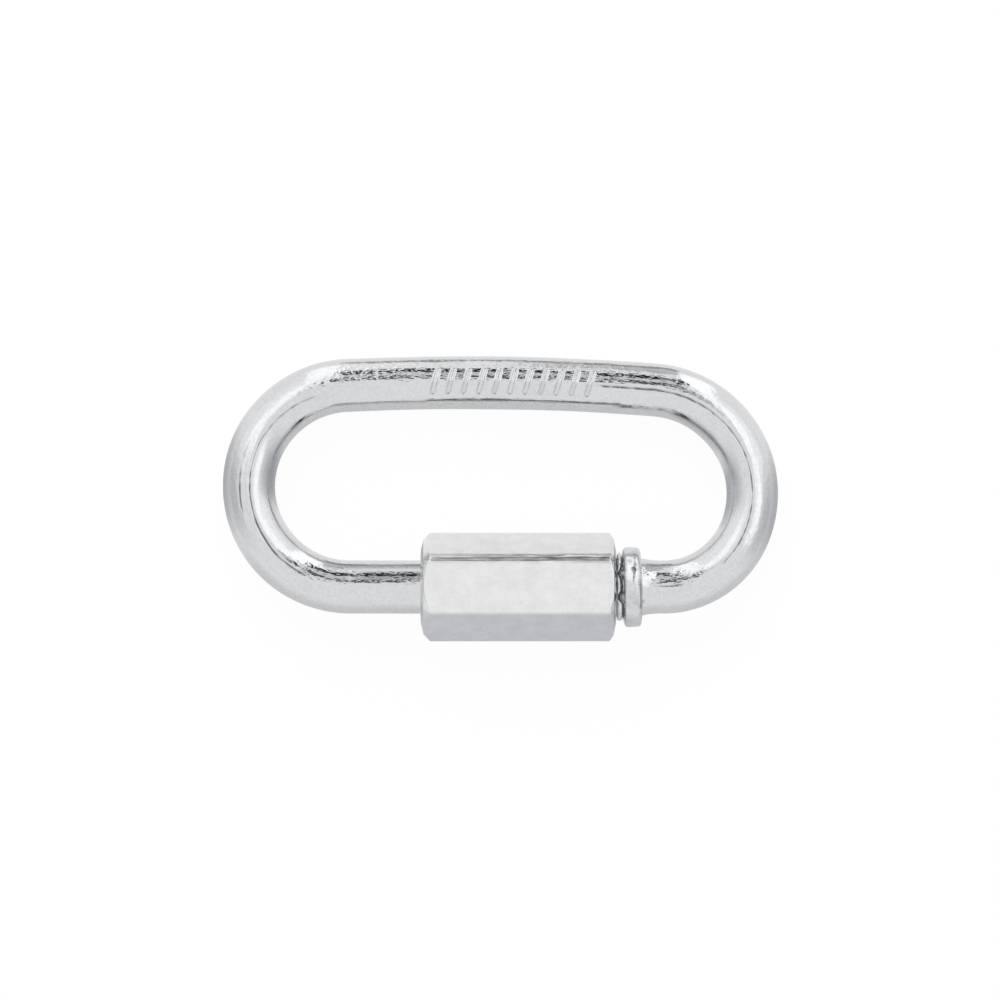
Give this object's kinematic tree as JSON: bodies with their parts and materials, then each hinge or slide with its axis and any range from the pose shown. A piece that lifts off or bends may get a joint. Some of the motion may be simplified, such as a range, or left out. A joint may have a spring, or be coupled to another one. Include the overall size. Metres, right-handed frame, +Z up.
{
  "type": "quick link",
  "caption": "Screw-closed quick link: an oval ring of bent round steel rod whose open side is bridged by a long hexagonal sleeve nut.",
  "frame": {"origin": "on the resting surface, under the centre of the whole link's box", "axes": "+X along the link's length from the plain bend to the collar's bend, +Y from the nut's leg to the far leg, +Z up; the nut lies on a flat and the ring leans 6 degrees until its far leg touches down"},
  "size_m": [0.0364, 0.0188, 0.0063],
  "materials": {
    "zinc_rod": "bright zinc plate on formed rod",
    "zinc_nut": "bright zinc plate on drawn hexagon bar"
  },
  "bodies": {
    "link_body": {"link_body": "zinc_rod"},
    "sleeve_nut": {"sleeve_nut": "zinc_nut"}
  },
  "joints": [
    {"name": "sleeve_travel", "type": "slide", "parent": "link_body", "child": "sleeve_nut", "axis": [1, 0, 0], "range_m": [-0.006, 0]}
  ]
}
